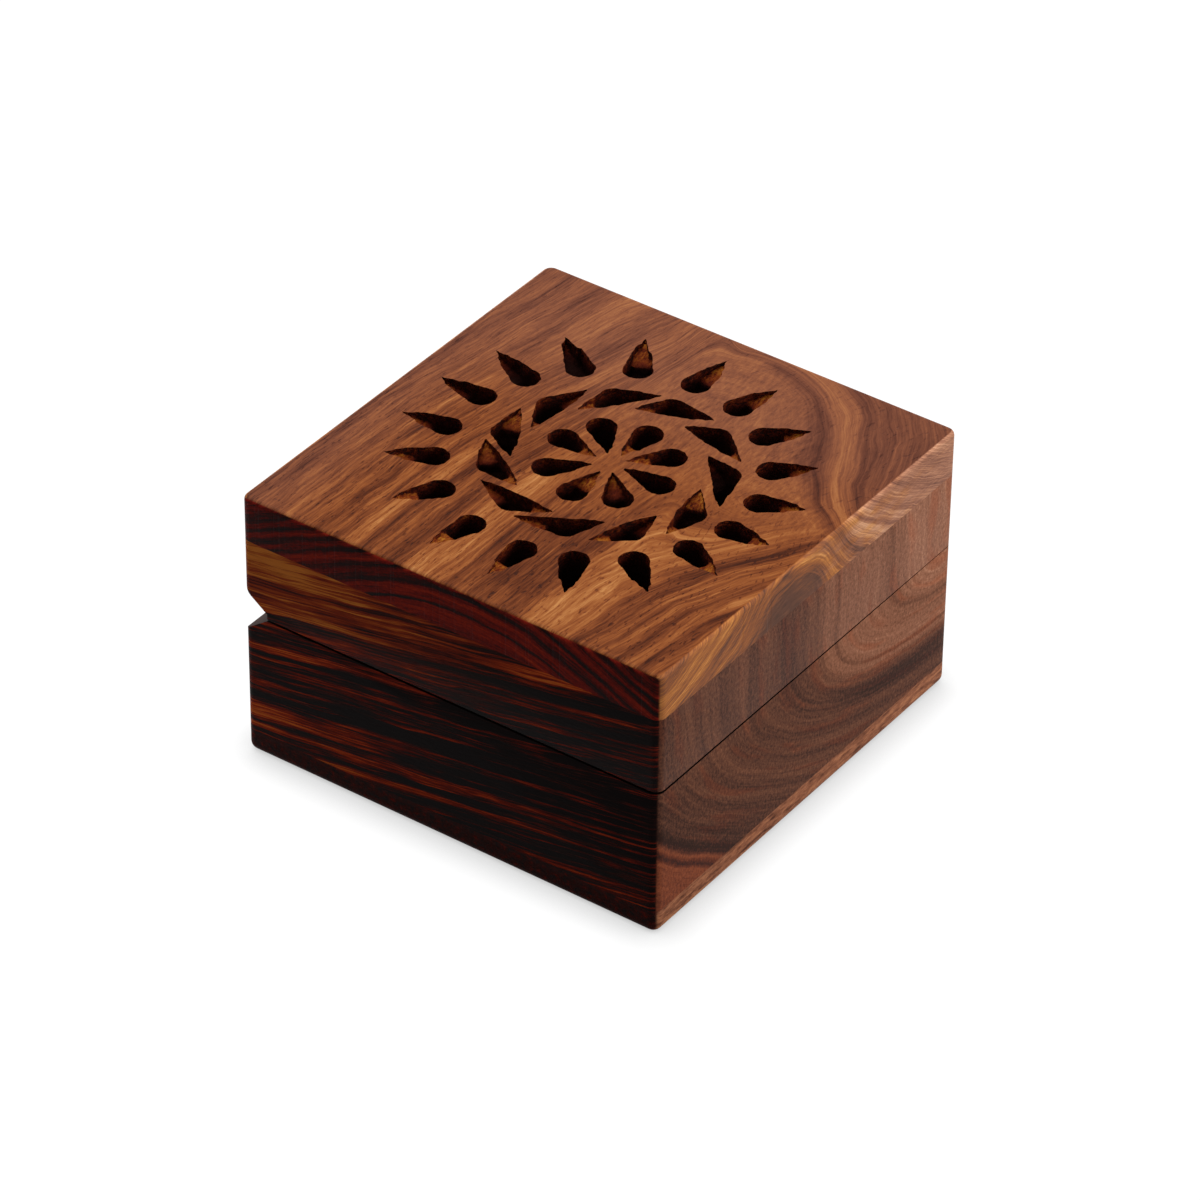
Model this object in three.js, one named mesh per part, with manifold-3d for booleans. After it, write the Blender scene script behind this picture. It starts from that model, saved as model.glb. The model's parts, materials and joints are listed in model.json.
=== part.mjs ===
// A small hinged wooden box whose lid panel is pierced with a carved rosette.
// Millimetres, +Z up. The origin is the middle of the underside, X runs along the hinges,
// the front is at -Y and the hinges are at the back, at +Y.

import * as THREE from "three";
import { ConvexGeometry } from "three/addons/geometries/ConvexGeometry.js";
import { mergeVertices } from "three/addons/utils/BufferGeometryUtils.js";
import Module from "manifold-3d";

const wasm = await Module();
wasm.setup();

// Sizes of the box
const boxWidth = 102;
const boxDepth = 100;
const basePanelThickness = 4.5;
const baseFrameHeight = 29.75;
const lidFrameHeight = 17.25;
const lidPanelThickness = 10.2;
const seamGap = 0.3;
const wallThickness = 12;
const cavityCornerRadius = 9;
const sideEdgeRadius = 2;
const topEdgeRadius = 1;
const footEdgeRadius = 2;

// Groove sawn along the back at the seam, where the hinge knuckles lie and the lid tips back
const grooveDepth = 6;
const grooveRise = 4.4;
const grooveLand = 1.3;
const lidLipRadius = 2.5;
const baseLipRadius = 1.2;

// Brass butt hinges
const hingeLength = 22;
const hingeInset = 24;
const leafThickness = 0.6;
const leafInset = 1;
const leafCornerRadius = 0.6;
const knuckleCount = 3;
const pinRadius = 0.55;
const pinPlay = 0.15;
const pinProud = 0.4;
const runningGap = 0.3;
const fitGap = 0.25;

// Countersunk wood screws of the hinges
const screwLength = 6;
const screwPointLength = 1.6;
const screwShankRadius = 0.8;
const screwHeadRadius = 1.6;
const screwHeadHeight = 0.7;
const screwInset = 4.5;

// The carved pattern is set out with compasses near the middle of the panel.
// Every cut starts as a drilled hole, and its points are chiselled down towards the hole.
// slips are the degrees by which the maker's eye missed the even spacing, and reaches are how
// much further out than its ring a point lies.
const chiselDepth = 2.4;
const petals = {
  count: 8,
  centre: new THREE.Vector2(0.7, -1.25),
  firstAngle: 43,
  drillRadius: 3.2,
  drillRing: 12.3,
  slips: [0, -4.5, 0.5, 1.5, 0, 0.5, 1, -0.5],
  points: [{ ring: 3.15, turn: 2, slips: [-3, -2, 0, 5.5, 1.5, 0.5, 1.5, -8] }],
};
const leaves = {
  count: 11,
  centre: new THREE.Vector2(0.4, -1.45),
  firstAngle: 33,
  drillRadius: 3.05,
  drillRing: 23.1,
  slips: [0.5, 0, -0.5, -4, -3.5, -2.5, -3.5, -3, 1.5, 2, 3],
  points: [
    { ring: 19.6, turn: 19.5, slips: [2.5, 3, 1, -1.5, -1, -3, -5, -1, 0, 0.5, 1.5] },
    { ring: 25.85, turn: -23, slips: [1.5, 2.5, 3, -1.5, -2.5, -5, 0, 1.5, -0.5, 3, 4] },
  ],
};
const rays = {
  count: 18,
  centre: new THREE.Vector2(-0.1, -0.25),
  firstAngle: 3.5,
  drillRadius: 3.15,
  drillRing: 33.1,
  slips: [-2, 0, 0, 0, -1, 0.5, -1, -1.5, 1.5, 4, 2.5, 2.5, 2, 0, -1.5, -2, -1.5, -2],
  points: [{
    ring: 43.3,
    turn: 1,
    reaches: [0.2, 1, 1.5, 0.9, 0.4, -0.2, 0, -0.1, 0.2, -0.1, 0.6, 0.3, -0.1, -1.1, -0.9, -1.1, -0.5, 0.1],
    slips: [-3.5, 0, 1, 0, -1, -2, -3, -2, 0.5, 0.5, 1.5, 2.5, 1.5, 1, 0, -0.5, -3.5, -2.5],
  }],
};

// Facets of round shapes
const edgeSegments = 2;
const drillSides = 16;
const barrelSides = 20;
const screwSides = 12;

// Heights and places that follow from the sizes
const baseTop = basePanelThickness + baseFrameHeight;
const lidBottom = baseTop + seamGap;
const lidFrameTop = lidBottom + lidFrameHeight;
const boxTop = lidFrameTop + lidPanelThickness;
const frontY = -boxDepth / 2;
const backY = boxDepth / 2;
const grooveY = backY - grooveDepth;
const grooveSlope = Math.atan2(grooveRise, grooveDepth);
const boreRadius = pinRadius + pinPlay;
const knuckleRadius = boreRadius + leafThickness;
const barrelReach = knuckleRadius + runningGap;

// The hinge axis lies in the middle of the seam, just far enough out to clear the groove
const hingeY = grooveY + (barrelReach - (seamGap / 2) * Math.cos(grooveSlope)) / Math.sin(grooveSlope);
const hingeZ = baseTop + seamGap / 2;
const leafInnerY = backY - wallThickness + leafInset - hingeY;
const leafOuterY = -barrelReach;
const screwY = (leafInnerY + leafOuterY) / 2;

// Colours and finishes
const timber = (color) => new THREE.MeshStandardMaterial({ color, roughness: 0.45, metalness: 0 });
const brass = () => new THREE.MeshStandardMaterial({ color: 0xb08a3e, roughness: 0.35, metalness: 1 });
const steel = () => new THREE.MeshStandardMaterial({ color: 0x9a9890, roughness: 0.4, metalness: 1 });

// Turns a closed three.js geometry into a solid that can be cut and joined
function toSolid(geometry) {
  const bare = geometry.clone();
  bare.deleteAttribute("normal");
  bare.deleteAttribute("uv");
  const merged = mergeVertices(bare);
  const corners = Array.from(merged.index.array);
  const triVerts = [];
  for (let i = 0; i < corners.length; i += 3) {
    const [a, b, c] = corners.slice(i, i + 3);
    if (a !== b && b !== c && c !== a) {
      triVerts.push(a, b, c);
    }
  }
  return new wasm.Manifold(new wasm.Mesh({
    numProp: 3,
    vertProperties: new Float32Array(merged.attributes.position.array),
    triVerts: new Uint32Array(triVerts),
  }));
}

// Turns a solid back into a named mesh
function toMesh(name, solid, material) {
  const { vertProperties, triVerts } = solid.getMesh();
  const geometry = new THREE.BufferGeometry();
  geometry.setAttribute("position", new THREE.BufferAttribute(vertProperties, 3));
  geometry.setIndex(new THREE.BufferAttribute(triVerts, 1));
  geometry.computeVertexNormals();
  const mesh = new THREE.Mesh(geometry, material);
  mesh.name = name;
  return mesh;
}

// Draws a closed outline through corners of the form [x, y, radius], each rounded to its radius
function outline(corners) {
  const shape = new THREE.Shape();
  corners.forEach(([x, y, radius = 0], i) => {
    const corner = new THREE.Vector2(x, y);
    if (radius === 0) {
      if (i === 0) {
        shape.moveTo(x, y);
      } else {
        shape.lineTo(x, y);
      }
      return;
    }
    const [beforeX, beforeY] = corners.at(i - 1);
    const [afterX, afterY] = corners[(i + 1) % corners.length];
    const toBefore = new THREE.Vector2(beforeX, beforeY).sub(corner).normalize();
    const toAfter = new THREE.Vector2(afterX, afterY).sub(corner).normalize();
    const halfAngle = Math.acos(toBefore.dot(toAfter)) / 2;
    const centre = toBefore.clone().add(toAfter).setLength(radius / Math.sin(halfAngle)).add(corner);
    const reach = radius / Math.tan(halfAngle);
    const start = toBefore.multiplyScalar(reach).add(corner).sub(centre);
    const end = toAfter.multiplyScalar(reach).add(corner).sub(centre);
    shape.absarc(centre.x, centre.y, radius, start.angle(), end.angle(), start.cross(end) < 0);
  });
  shape.closePath();
  return shape;
}

// Rectangle outline about the middle, with one radius on all four corners
function rectangle(width, depth, radius) {
  const x = width / 2;
  const y = depth / 2;
  return outline([[-x, -y, radius], [x, -y, radius], [x, y, radius], [-x, y, radius]]);
}

// Extrudes an outline into a solid
function extrude(shape, length) {
  const options = { depth: length, bevelEnabled: false, curveSegments: edgeSegments };
  return new THREE.ExtrudeGeometry(shape, options);
}

// Stands an outline in the plan view up from one height to another
function extrudeUp(shape, bottom, top) {
  return toSolid(extrude(shape, top - bottom).translate(0, 0, bottom));
}

// Runs an outline drawn in Y and Z along X, centred
function extrudeAlongX(shape, length) {
  const turn = new THREE.Matrix4().set(0, 0, 1, 0, 1, 0, 0, 0, 0, 1, 0, 0, 0, 0, 0, 1);
  return toSolid(extrude(shape, length).translate(0, 0, -length / 2).applyMatrix4(turn));
}

// Block from one corner to the other
function block(low, high) {
  const box = new THREE.Box3(new THREE.Vector3(...low), new THREE.Vector3(...high));
  const size = box.getSize(new THREE.Vector3());
  const middle = box.getCenter(new THREE.Vector3());
  return toSolid(new THREE.BoxGeometry(size.x, size.y, size.z).translate(middle.x, middle.y, middle.z));
}

// Slab over the whole plan of the box. Its lower and upper edges are rounded in layers that
// shrink towards the face, so the rounding runs on round the corners.
function slab(bottom, top, lowerRadius, upperRadius) {
  const cloud = [];
  for (const [level, inward, radius] of [[bottom, 1, lowerRadius], [top, -1, upperRadius]]) {
    const layers = radius > 0 ? 2 * edgeSegments : 0;
    for (let i = 0; i <= layers; i += 1) {
      const turn = layers > 0 ? i / layers * Math.PI / 2 : 0;
      const inset = radius * (1 - Math.cos(turn));
      const height = level + inward * radius * (1 - Math.sin(turn));
      const plan = rectangle(boxWidth - 2 * inset, boxDepth - 2 * inset, sideEdgeRadius - inset);
      for (const corner of plan.extractPoints(edgeSegments).shape.slice(0, -1)) {
        cloud.push(new THREE.Vector3(corner.x, corner.y, height));
      }
    }
  }
  return toSolid(new ConvexGeometry(cloud));
}

// Ring of the body block between two heights, cut to a side profile and hollowed out
function frameRing(sideProfile, bottom, top) {
  const cavityWidth = boxWidth - 2 * wallThickness;
  const cavityDepth = boxDepth - 2 * wallThickness;
  const cavity = rectangle(cavityWidth, cavityDepth, cavityCornerRadius);
  return extrudeUp(rectangle(boxWidth, boxDepth, sideEdgeRadius), bottom, top)
    .intersect(extrudeAlongX(outline(sideProfile), boxWidth))
    .subtract(extrudeUp(cavity, bottom - runningGap, top + runningGap));
}

// One cutter of the carving: a drilled hole, drawn out to one or two chiselled points
function carvedCut(ring, index) {
  const evenAngle = ring.firstAngle + index * 360 / ring.count;
  const place = (radius, turn, slips) => {
    const angle = THREE.MathUtils.degToRad(evenAngle + turn + slips[index % slips.length]);
    return new THREE.Vector2(radius, 0).rotateAround(new THREE.Vector2(), angle).add(ring.centre);
  };
  const below = lidFrameTop - runningGap;
  const above = boxTop + runningGap;
  const drill = place(ring.drillRing, 0, ring.slips);
  const cloud = [];
  for (let i = 0; i < drillSides; i += 1) {
    const turn = THREE.MathUtils.degToRad(evenAngle) + i * 2 * Math.PI / drillSides;
    const rim = new THREE.Vector2(ring.drillRadius, 0).rotateAround(new THREE.Vector2(), turn).add(drill);
    cloud.push(new THREE.Vector3(rim.x, rim.y, below));
    cloud.push(new THREE.Vector3(rim.x, rim.y, above));
  }
  for (const point of ring.points) {
    const { ring: level, turn, slips, reaches = [0] } = point;
    const tip = place(level + reaches[index % reaches.length], turn, slips);
    cloud.push(new THREE.Vector3(tip.x, tip.y, boxTop - chiselDepth));
    cloud.push(new THREE.Vector3(tip.x, tip.y, above));
  }
  return toSolid(new ConvexGeometry(cloud));
}

// Pierced panel glued on top of the lid frame
function lidPanel() {
  let panel = slab(lidFrameTop, boxTop, 0, topEdgeRadius);
  for (const ring of [petals, leaves, rays]) {
    for (let i = 0; i < ring.count; i += 1) {
      panel = panel.subtract(carvedCut(ring, i));
    }
  }
  return panel;
}

// Middles of the hinges and of the screws in each leaf, along X
const hingePlaces = { left: hingeInset - boxWidth / 2, right: boxWidth / 2 - hingeInset };
const screwPlaces = [screwInset - hingeLength / 2, hingeLength / 2 - screwInset];

// Screw turned on its own axis, with its flat head at the origin and its point below,
// or with a gap the hole that clears it, open above by the head room
function screwGeometry(gap = 0, headRoom = 0) {
  const profile = [
    [0, -screwLength - gap],
    [screwShankRadius + gap, -screwLength + screwPointLength - gap],
    [screwShankRadius + gap, -screwHeadHeight],
    [screwHeadRadius + gap, 0],
  ];
  if (headRoom > 0) {
    profile.push([screwHeadRadius + gap, headRoom]);
  }
  profile.push([0, headRoom]);
  return new THREE.LatheGeometry(profile.map(([x, y]) => new THREE.Vector2(x, y)), screwSides);
}

// Turns a screw upright, pointing down in the base and up in the lid; side is -1 or 1
function placeScrew(geometry, side, x, y, z) {
  return toSolid(geometry.rotateX(-side * Math.PI / 2).translate(x, y, z));
}

// Shallow housing for one hinge leaf, with its screw holes, cut from a rim
function leafHousing(side, x) {
  const rimZ = hingeZ + side * seamGap / 2;
  const floorZ = rimZ + side * (leafThickness + fitGap);
  const openZ = rimZ - side * seamGap;
  const halfLength = hingeLength / 2 + fitGap;
  const innerY = hingeY + leafInnerY - fitGap;
  let housing = block(
    [x - halfLength, innerY, Math.min(floorZ, openZ)],
    [x + halfLength, backY + runningGap, Math.max(floorZ, openZ)],
  );
  for (const screwX of screwPlaces) {
    const hole = placeScrew(screwGeometry(fitGap, seamGap), side, x + screwX, hingeY + screwY, rimZ);
    housing = housing.add(hole);
  }
  return housing;
}

// Lower part of the body block, with the hinge housings cut in its back rim
function baseFrame() {
  const profile = [
    [frontY, basePanelThickness],
    [backY, basePanelThickness],
    [backY, baseTop - grooveRise, baseLipRadius],
    [grooveY, baseTop],
    [frontY, baseTop],
  ];
  let frame = frameRing(profile, basePanelThickness, baseTop);
  for (const x of Object.values(hingePlaces)) {
    frame = frame.subtract(leafHousing(-1, x));
  }
  return frame;
}

// Upper part of the body block, sawn off along the seam
function lidFrame() {
  const profile = [
    [frontY, lidBottom],
    [grooveY, lidBottom],
    [grooveY, lidBottom + grooveLand],
    [backY, lidBottom + grooveLand + grooveRise, lidLipRadius],
    [backY, lidFrameTop],
    [frontY, lidFrameTop],
  ];
  let frame = frameRing(profile, lidBottom, lidFrameTop);
  for (const x of Object.values(hingePlaces)) {
    frame = frame.subtract(leafHousing(1, x));
  }
  return frame;
}

// Bar along X about the hinge axis, for knuckles and bores
function bar(radius, length, x) {
  const cylinder = new THREE.CylinderGeometry(radius, radius, length, barrelSides);
  return toSolid(cylinder.rotateZ(Math.PI / 2).translate(x, 0, 0));
}

// Hinge leaf about the hinge axis: a plate with every other knuckle; side is -1 or 1
function hingeLeaf(side) {
  const faceZ = side * seamGap / 2;
  const rearZ = side * (seamGap / 2 + leafThickness);
  const low = Math.min(faceZ, rearZ);
  const high = Math.max(faceZ, rearZ);
  const half = hingeLength / 2;
  const plate = outline([
    [-half, leafInnerY, leafCornerRadius],
    [half, leafInnerY, leafCornerRadius],
    [half, leafOuterY],
    [-half, leafOuterY],
  ]);
  let leaf = extrudeUp(plate, low, high);
  const pitch = hingeLength / knuckleCount;
  for (let i = side < 0 ? 0 : 1; i < knuckleCount; i += 2) {
    const x = (i + 0.5) * pitch - half;
    const outerEnd = side < 0 ? runningGap / 2 : 0;
    const width = pitch - runningGap - outerEnd;
    leaf = leaf
      .add(bar(knuckleRadius, width, x))
      .add(block([x - width / 2, leafOuterY - runningGap, low], [x + width / 2, -boreRadius, high]));
  }
  leaf = leaf.subtract(bar(boreRadius, hingeLength, 0));
  for (const x of screwPlaces) {
    leaf = leaf.subtract(placeScrew(screwGeometry(fitGap, seamGap), side, x, screwY, faceZ));
  }
  return leaf;
}

// Pin with rounded ends through all the knuckles
function hingePin() {
  const half = hingeLength / 2 + pinProud;
  const profile = [
    [0, -half],
    [pinRadius / 2, -half],
    [pinRadius, -half + pinProud],
    [pinRadius, half - pinProud],
    [pinRadius / 2, half],
    [0, half],
  ].map(([radius, height]) => new THREE.Vector2(radius, height));
  return toSolid(new THREE.LatheGeometry(profile, screwSides).rotateZ(Math.PI / 2));
}

// Fixed part of the box
const box = new THREE.Group();
box.add(toMesh("base_panel", slab(0, basePanelThickness, footEdgeRadius, 0), timber(0x6a4128)));
box.add(toMesh("base_frame", baseFrame(), timber(0x4e2a1a)));

// The lid turns about its group's own X axis, which is the hinge axis
const lid = new THREE.Group();
lid.position.set(0, hingeY, hingeZ);
box.add(lid);
const lidPieces = new THREE.Group();
lidPieces.position.set(0, -hingeY, -hingeZ);
lid.add(lidPieces);
lidPieces.add(toMesh("lid_frame", lidFrame(), timber(0x5a3220)));
lidPieces.add(toMesh("lid_panel", lidPanel(), timber(0x8c5532)));

// Hinges: the base leaf and pin stay with the box, and the lid leaf turns with the lid
for (const [hinge, x] of Object.entries(hingePlaces)) {
  const fixed = new THREE.Group();
  fixed.position.set(x, hingeY, hingeZ);
  box.add(fixed);
  fixed.add(toMesh(`hinge_${hinge}_base_leaf`, hingeLeaf(-1), brass()));
  fixed.add(toMesh(`hinge_${hinge}_pin`, hingePin(), steel()));
  const turning = new THREE.Group();
  turning.position.set(x, 0, 0);
  lid.add(turning);
  turning.add(toMesh(`hinge_${hinge}_lid_leaf`, hingeLeaf(1), brass()));
  screwPlaces.forEach((screwX, i) => {
    const seats = [["base", -1, fixed], ["lid", 1, turning]];
    for (const [half, side, group] of seats) {
      const name = `hinge_${hinge}_${half}_screw_${i + 1}`;
      const screw = toMesh(name, toSolid(screwGeometry()), brass());
      screw.position.set(screwX, screwY, side * seamGap / 2);
      screw.rotation.x = -side * Math.PI / 2;
      group.add(screw);
    }
  });
}

export default box;
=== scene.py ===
# %% [markdown]
# # A small carved wooden box
# The box is four pieces of dark, stripy hardwood. One block is sawn into a base and a lid, a thin
# panel is glued below it and a thick one above, and the thick one is pierced with a rosette. Two
# small brass hinges sit in a groove at the back. Everything here is in metres, in the same frame
# as the CAD model, which is loaded first and stays where it is.

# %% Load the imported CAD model
import json
import math
import random
import bmesh
import bpy
from mathutils import Matrix, Vector

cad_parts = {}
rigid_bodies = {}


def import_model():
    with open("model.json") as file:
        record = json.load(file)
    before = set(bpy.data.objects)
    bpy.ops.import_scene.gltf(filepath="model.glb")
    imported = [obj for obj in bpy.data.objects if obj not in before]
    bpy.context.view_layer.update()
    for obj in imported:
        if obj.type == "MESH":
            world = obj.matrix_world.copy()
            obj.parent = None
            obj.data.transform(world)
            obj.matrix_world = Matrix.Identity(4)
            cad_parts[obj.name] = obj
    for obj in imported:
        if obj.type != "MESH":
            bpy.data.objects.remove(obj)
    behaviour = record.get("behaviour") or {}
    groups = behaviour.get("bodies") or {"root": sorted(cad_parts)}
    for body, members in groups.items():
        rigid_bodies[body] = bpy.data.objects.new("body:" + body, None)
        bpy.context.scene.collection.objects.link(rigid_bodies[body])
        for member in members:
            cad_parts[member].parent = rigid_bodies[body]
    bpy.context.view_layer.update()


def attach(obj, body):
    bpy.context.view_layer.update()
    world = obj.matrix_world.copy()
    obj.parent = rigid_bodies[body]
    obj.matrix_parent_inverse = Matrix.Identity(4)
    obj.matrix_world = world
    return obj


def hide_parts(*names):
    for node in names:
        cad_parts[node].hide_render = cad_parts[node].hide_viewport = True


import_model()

# %% [markdown]
# ## Camera
# The six visible corners of the box in the photograph give the camera's place. It stands more
# than a metre away with a long lens, so the sides of the box converge only a little.

# %% Place the camera
MM = 0.001
AZIMUTH = math.radians(-54.738)
ELEVATION = math.radians(36.362)
ROLL = math.radians(0.688)
DISTANCE = 1.2417
LENS, SENSOR = 187.87, 36
TARGET = Vector((-0.00288, -0.0019, 0.031))

back = Vector((
    math.sin(AZIMUTH) * math.cos(ELEVATION),
    -math.cos(AZIMUTH) * math.cos(ELEVATION),
    math.sin(ELEVATION),
))
level = Vector((0, 0, 1)).cross(back).normalized()
upright = back.cross(level)
right = level * math.cos(ROLL) + upright * math.sin(ROLL)
up = upright * math.cos(ROLL) - level * math.sin(ROLL)
place = TARGET + back * DISTANCE

camera_data = bpy.data.cameras.new("photo_camera")
camera_data.lens = LENS
camera_data.sensor_width = SENSOR
camera_data.clip_end = 20
camera = bpy.data.objects.new("photo_camera", camera_data)
bpy.context.scene.collection.objects.link(camera)
camera.matrix_world = Matrix((
    (right.x, up.x, back.x, place.x),
    (right.y, up.y, back.y, place.y),
    (right.z, up.z, back.z, place.z),
    (0, 0, 0, 1),
))
bpy.context.scene.camera = camera
bpy.context.scene.view_settings.view_transform = "Standard"
print("camera at", [round(value, 3) for value in place])


# %% [markdown]
# ## Tools of the workshop
# Each piece starts as a primitive and is shaped in edit mode. Operators act on all that is
# selected, so these helpers clear the selection first and then choose corners, edges or faces by
# their place.

# %% Helpers for choosing and cutting
def deselect():
    if bpy.context.object and bpy.context.object.mode != "OBJECT":
        bpy.ops.object.mode_set(mode="OBJECT")
    bpy.ops.object.select_all(action="DESELECT")


def choose(piece, *others):
    deselect()
    for each in (piece, *others):
        each.select_set(True)
    bpy.context.view_layer.objects.active = piece


def settle(piece):
    choose(piece)
    bpy.ops.object.transform_apply(location=True, rotation=True, scale=True)
    return piece


def block(name, low, high):
    """Cuboid from one corner to the other, in millimetres."""
    deselect()
    low, high = Vector(low) * MM, Vector(high) * MM
    bpy.ops.mesh.primitive_cube_add(size=1, location=(low + high) / 2)
    piece = bpy.context.object
    piece.name = piece.data.name = name
    piece.scale = high - low
    return settle(piece)


def pick(piece, kind, test):
    """Enters edit mode and selects the elements whose middle, in millimetres, passes the test."""
    choose(piece)
    bpy.ops.object.mode_set(mode="EDIT")
    bpy.ops.mesh.select_mode(type=kind)
    bpy.ops.mesh.select_all(action="DESELECT")
    shape = bmesh.from_edit_mesh(piece.data)
    elements = {"VERT": shape.verts, "EDGE": shape.edges, "FACE": shape.faces}[kind]
    count = 0
    for element in elements:
        if kind == "VERT":
            middle = element.co
        elif kind == "EDGE":
            middle = (element.verts[0].co + element.verts[1].co) / 2
        else:
            middle = element.calc_center_median()
        if test(middle / MM, element):
            element.select_set(True)
            count += 1
    shape.select_flush_mode()
    bmesh.update_edit_mesh(piece.data)
    return count


def round_edges(piece, radius, segments, test):
    count = pick(piece, "EDGE", test)
    bpy.ops.mesh.bevel(offset=radius * MM, segments=segments, profile=0.5, affect="EDGES")
    bpy.ops.object.mode_set(mode="OBJECT")
    return count


def cut(piece, cutter, operation="DIFFERENCE", solver="EXACT"):
    """Takes the cutter out of the piece, or keeps or adds what they share, and removes the cutter."""
    step = piece.modifiers.new("cut", "BOOLEAN")
    step.operation = operation
    step.solver = solver
    step.object = cutter
    choose(piece)
    bpy.ops.object.modifier_apply(modifier=step.name)
    bpy.data.objects.remove(cutter)
    return piece


def smooth(piece, degrees=30):
    choose(piece)
    bpy.ops.object.shade_smooth_by_angle(angle=math.radians(degrees))
    return piece


def runs_along(edge, axis):
    way = edge.verts[1].co - edge.verts[0].co
    return way.length > 0 and abs(way[axis]) > 0.999 * way.length


def report(piece):
    print(piece.name, "triangles:", sum(len(face.vertices) - 2 for face in piece.data.polygons))


# %% [markdown]
# ## The body block
# The real block is one piece of timber with its corners just taken off. A V groove is sawn along
# the back first, so that the hinge knuckles have room and the lid can tip back. Then the block is
# hollowed, and last of all it is sawn through into base and lid. Working in the same order here
# keeps both halves lined up, and the stripes of the wood run on across the seam.

# %% Sizes of the block
WIDTH, DEPTH = 102, 100
BASE_PANEL_TOP = 4.5
BASE_TOP = 34.25
LID_BOTTOM = 34.55
SEAM = (BASE_TOP + LID_BOTTOM) / 2
HALF_CUT = 0.15
LID_FRAME_TOP = 51.8
BOX_TOP = 62
WALL = 12
CAVITY_CORNER = 9
CORNER = 2
TOP_RADIUS = 1
FOOT_RADIUS = 2
GROOVE_Y = 44
GROOVE_RISE = 4.4
GROOVE_LAND = 1.3
LID_LIP, BASE_LIP = 1.27, 0.61
REACH_X, REACH_Y = WIDTH / 2, DEPTH / 2


def plan_prism(name, bottom, top):
    """The whole plan of the box with its four upright corners rounded."""
    prism = block(name, (-REACH_X, -REACH_Y, bottom), (REACH_X, REACH_Y, top))
    round_edges(prism, CORNER, 5, lambda middle, edge: runs_along(edge, 2))
    return prism


# %% Saw the groove and soften its two lips
timber = block("timber", (-REACH_X, -REACH_Y, BASE_PANEL_TOP), (REACH_X, REACH_Y, LID_FRAME_TOP))
OVER = 2
slope = GROOVE_RISE / (REACH_Y - GROOVE_Y)
groove = block("groove", (-60, GROOVE_Y, BASE_TOP), (60, REACH_Y + OVER, LID_BOTTOM + GROOVE_LAND))
for side in (-1, 1):
    pick(groove, "VERT", lambda middle, vert: middle.y > GROOVE_Y + 1 and side * (middle.z - SEAM) > 0)
    rise = side * slope * (REACH_Y + OVER - GROOVE_Y) * MM
    bpy.ops.transform.translate(value=(0, 0, rise))
    bpy.ops.object.mode_set(mode="OBJECT")
cut(timber, groove)
LIPS = {LID_BOTTOM + GROOVE_LAND + GROOVE_RISE: LID_LIP, BASE_TOP - GROOVE_RISE: BASE_LIP}
for height, reach in LIPS.items():
    lips = round_edges(
        timber, reach, 5, lambda middle, edge:
        runs_along(edge, 0) and middle.y > REACH_Y - 0.01 and abs(middle.z - height) < 0.01)
    print("groove lip at", height, "edges rounded:", lips)
cut(timber, plan_prism("outline", BASE_PANEL_TOP - 1, LID_FRAME_TOP + 1), "INTERSECT")

# %% Hollow the block
cavity = block(
    "cavity",
    (WALL - REACH_X, WALL - REACH_Y, BASE_PANEL_TOP - 1),
    (REACH_X - WALL, REACH_Y - WALL, LID_FRAME_TOP + 1),
)
round_edges(cavity, CAVITY_CORNER, 12, lambda middle, edge: runs_along(edge, 2))
cut(timber, cavity)
report(timber)

# %% [markdown]
# ## Housings for the hinges
# Each brass leaf lies flush in a shallow housing chopped into the rim, and its two screws go down
# pilot holes. The housings are cut before the block is sawn, one pair for each hinge.

# %% Cut the housings and pilot holes
HINGE_LENGTH = 22
HINGE_PLACES = {"left": -27, "right": 27}
HINGE_Y, HINGE_Z = 46.501065, 34.4
LEAF = 0.6
LEAF_INNER_Y, LEAF_OUTER_Y = 39, 44.901
FIT_GAP = 0.25
RUN_GAP = 0.3
SCREW_Y = 41.95
SCREW_OFFSETS = (-6.5, 6.5)
SCREW_HOLE, PILOT_LENGTH = 1.05, 12.4
BORE, KNUCKLE = 0.7, 1.3


def round_bar(name, radius, depth, middle, sides=32, axis="Z"):
    deselect()
    turn = {"X": (0, math.pi / 2, 0), "Z": (0, 0, 0)}[axis]
    bpy.ops.mesh.primitive_cylinder_add(
        vertices=sides, radius=radius * MM, depth=depth * MM,
        location=Vector(middle) * MM, rotation=turn)
    piece = bpy.context.object
    piece.name = piece.data.name = name
    return settle(piece)


for x in HINGE_PLACES.values():
    low = (x - HINGE_LENGTH / 2 - FIT_GAP, LEAF_INNER_Y - FIT_GAP, BASE_TOP - LEAF - FIT_GAP)
    high = (x + HINGE_LENGTH / 2 + FIT_GAP, REACH_Y + 1, LID_BOTTOM + LEAF + FIT_GAP)
    cut(timber, block("housing", low, high))
    for offset in SCREW_OFFSETS:
        cut(timber, round_bar("pilot", SCREW_HOLE, PILOT_LENGTH, (x + offset, SCREW_Y, HINGE_Z)))
report(timber)

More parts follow.
